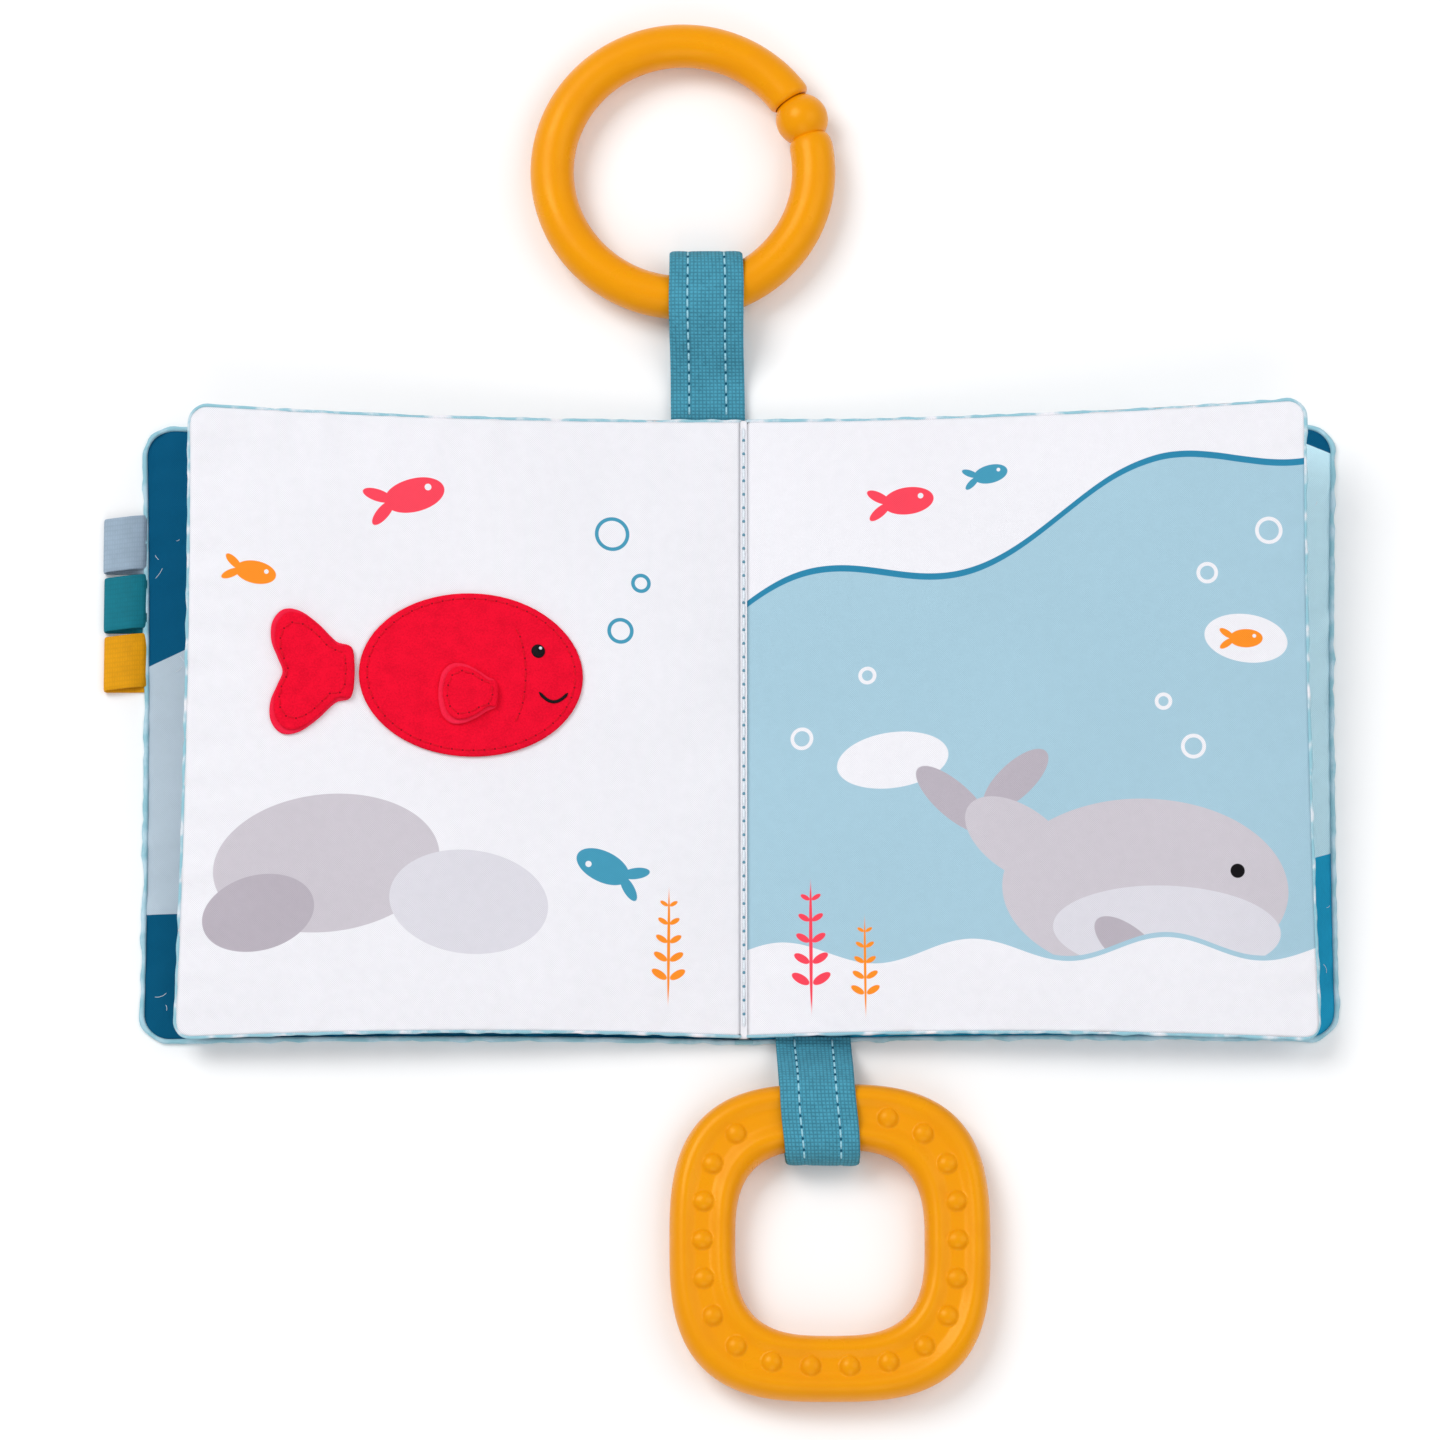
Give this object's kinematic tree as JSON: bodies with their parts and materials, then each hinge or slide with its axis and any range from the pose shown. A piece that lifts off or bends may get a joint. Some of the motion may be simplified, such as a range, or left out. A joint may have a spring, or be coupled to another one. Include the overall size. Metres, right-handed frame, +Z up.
{
  "type": "crinkle cloth book",
  "caption": "Padded cloth book lying open, with sewn leaves, ribbon tags and felt flaps, a strap with a split click ring and a strap with a rounded square teether.",
  "frame": {"origin": "middle of the spine's underside, on the table", "axes": "+Y along the spine towards the click ring, +X towards the back cover, +Z up out of the open pages"},
  "size_m": [0.2971, 0.3402, 0.0264],
  "materials": {
    "white_cloth": "soft brushed cloth",
    "navy_cloth": "soft brushed cloth",
    "sky_cloth": "soft brushed cloth",
    "grey_blue_cloth": "soft brushed cloth",
    "teal_edge": "overlocked edge",
    "sky_edge": "overlocked edge",
    "wadding": "loose polyester wadding",
    "film": "thin crinkling film",
    "thread": "sewing thread",
    "teal_ribbon": "ribbed ribbon",
    "grey_ribbon": "satin ribbon",
    "green_ribbon": "satin ribbon",
    "mustard_ribbon": "satin ribbon",
    "mustard_plastic": "moulded, satin gloss",
    "red_felt": "short pile felt",
    "light_red_felt": "short pile felt",
    "black_thread": "embroidery thread"
  },
  "bodies": {
    "back_cover": {"back_cover_lower_fabric": "navy_cloth", "back_cover_upper_fabric": "sky_cloth", "back_cover_wadding": "wadding", "back_cover_crinkle_film": "film", "back_cover_edge": "sky_edge", "spine_core": "navy_cloth", "spine_stitching": "thread"},
    "front_cover": {"front_cover_lower_fabric": "navy_cloth", "front_cover_upper_fabric": "grey_blue_cloth", "front_cover_wadding": "wadding", "front_cover_crinkle_film": "film", "front_cover_edge": "teal_edge"},
    "left_page": {"left_page_lower_fabric": "white_cloth", "left_page_upper_fabric": "white_cloth", "left_page_wadding": "wadding", "left_page_crinkle_film": "film", "left_page_edge": "teal_edge", "fish_body": "red_felt", "fish_eye": "black_thread", "fish_mouth_stitching": "black_thread"},
    "right_page": {"right_page_lower_fabric": "white_cloth", "right_page_upper_fabric": "white_cloth", "right_page_wadding": "wadding", "right_page_crinkle_film": "film", "right_page_edge": "teal_edge"},
    "side_fin": {"side_fin_under_felt": "light_red_felt", "side_fin_upper_felt": "red_felt"},
    "tail_fin": {"tail_fin_under_felt": "light_red_felt", "tail_fin_upper_felt": "red_felt"},
    "grey_tag": {"ribbon_tag_grey": "grey_ribbon"},
    "teal_tag": {"ribbon_tag_teal": "green_ribbon"},
    "mustard_tag": {"ribbon_tag_mustard": "mustard_ribbon"},
    "top_strap": {"top_strap": "teal_ribbon", "top_strap_stitching": "thread"},
    "top_loop": {"top_strap_loop": "teal_ribbon"},
    "click_ring": {"click_ring": "mustard_plastic"},
    "bottom_strap": {"bottom_strap": "teal_ribbon", "bottom_strap_stitching": "thread"},
    "bottom_loop": {"bottom_strap_loop": "teal_ribbon"},
    "teether": {"teether": "mustard_plastic"}
  },
  "joints": [
    {"name": "front_cover_fold", "type": "hinge", "parent": "back_cover", "child": "front_cover", "pos_m": [0, 0, 0.00719], "axis": [0, 1, 0], "range_deg": [0, 160]},
    {"name": "left_page_turn", "type": "hinge", "parent": "front_cover", "child": "left_page", "pos_m": [0, 0, 0.00719], "axis": [0, -1, 0], "range_deg": [-160, 0]},
    {"name": "right_page_turn", "type": "hinge", "parent": "back_cover", "child": "right_page", "pos_m": [0, 0, 0.00719], "axis": [0, 1, 0], "range_deg": [-160, 0]},
    {"name": "side_fin_lift", "type": "hinge", "parent": "left_page", "child": "side_fin", "pos_m": [-0.05911, 0.005, 0.01808], "axis": [0, -1, 0], "range_deg": [-60, 0]},
    {"name": "tail_fin_lift", "type": "hinge", "parent": "left_page", "child": "tail_fin", "pos_m": [-0.09372, 0.01, 0.01933], "axis": [0, -1, 0], "range_deg": [-90, 0]},
    {"name": "grey_tag_bend", "type": "hinge", "parent": "front_cover", "child": "grey_tag", "pos_m": [-0.14368, 0.0452, 0.00245], "axis": [0, 1, 0], "range_deg": [0, 90]},
    {"name": "teal_tag_bend", "type": "hinge", "parent": "front_cover", "child": "teal_tag", "pos_m": [-0.1434, 0.0305, 0.00245], "axis": [0, 1, 0], "range_deg": [0, 90]},
    {"name": "mustard_tag_bend", "type": "hinge", "parent": "front_cover", "child": "mustard_tag", "pos_m": [-0.14321, 0.0158, 0.00245], "axis": [0, 1, 0], "range_deg": [0, 90]},
    {"name": "top_strap_swing", "type": "hinge", "parent": "front_cover", "child": "top_strap", "pos_m": [-0.0098, 0.0764, 0.0026], "axis": [1, 0, 0], "range_deg": [0, 75]},
    {"name": "top_loop_bend", "type": "hinge", "parent": "top_strap", "child": "top_loop", "pos_m": [-0.0098, 0.09435, 0.0026], "axis": [-1, 0, 0], "range_deg": [-90, 0]},
    {"name": "click_ring_turn", "type": "hinge", "parent": "top_loop", "child": "click_ring", "pos_m": [-0.0148, 0.1382, 0.00665], "axis": [0, 0, 1], "range_deg": [-70, 215]},
    {"name": "bottom_strap_swing", "type": "hinge", "parent": "back_cover", "child": "bottom_strap", "pos_m": [0.0174, -0.0764, 0.0026], "axis": [-1, 0, 0], "range_deg": [0, 50]},
    {"name": "bottom_loop_bend", "type": "hinge", "parent": "bottom_strap", "child": "bottom_loop", "pos_m": [0.0174, -0.0818, 0.0026], "axis": [1, 0, 0], "range_deg": [-60, 0]},
    {"name": "teether_slide", "type": "slide", "parent": "bottom_loop", "child": "teether", "axis": [1, 0, 0], "range_m": [-0.004, 0.004]}
  ]
}
